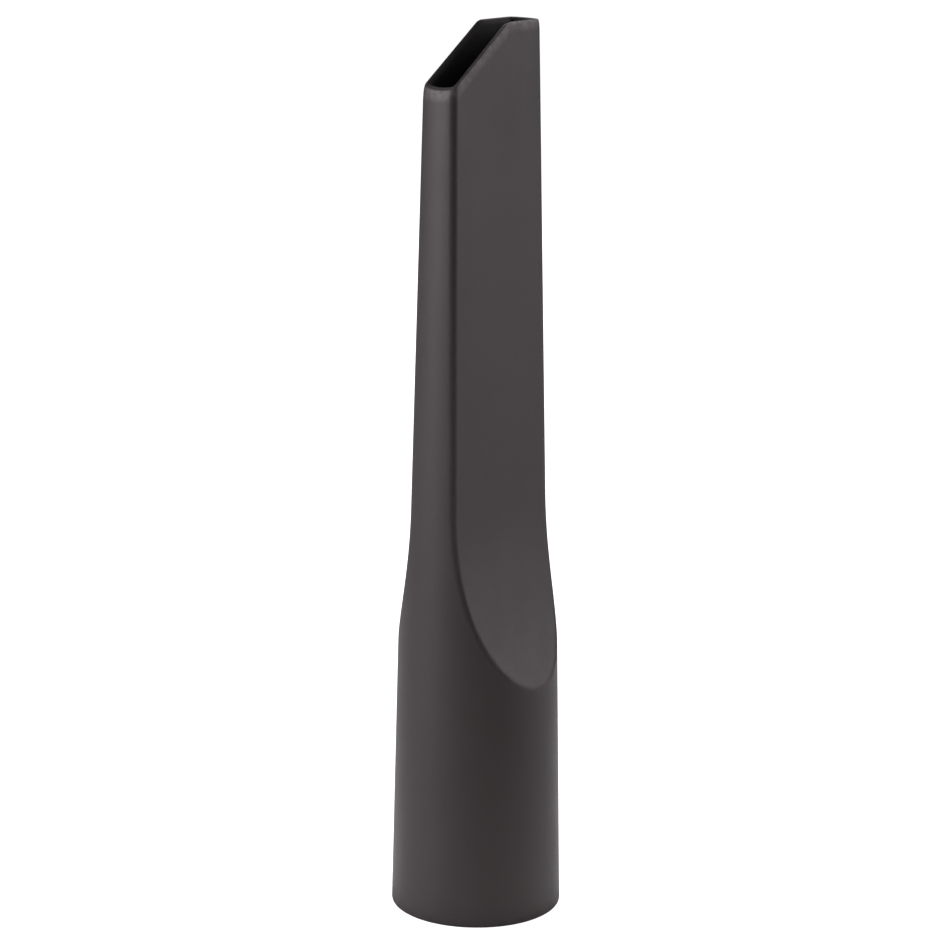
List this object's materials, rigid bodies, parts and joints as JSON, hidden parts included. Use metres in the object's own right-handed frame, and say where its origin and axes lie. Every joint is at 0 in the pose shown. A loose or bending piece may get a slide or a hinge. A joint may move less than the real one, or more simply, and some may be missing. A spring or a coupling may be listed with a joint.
{
  "type": "vacuum crevice nozzle",
  "caption": "Slim moulded crevice nozzle for a vacuum hose: round push-on socket, scooped shoulders, flat hollow blade and a slanted open tip.",
  "frame": {"origin": "centre of the socket's mouth, on the plane of the rim it stands on", "axes": "+Z along the air path towards the tip, X across the wide side of the blade with the tip's high side at +X, Y through the blade's thickness"},
  "size_m": [0.0364, 0.0364, 0.19],
  "materials": {
    "charcoal_plastic": "satin moulded plastic with a fine grain"
  },
  "bodies": {
    "root": {"crevice_nozzle": "charcoal_plastic"}
  },
  "joints": []
}
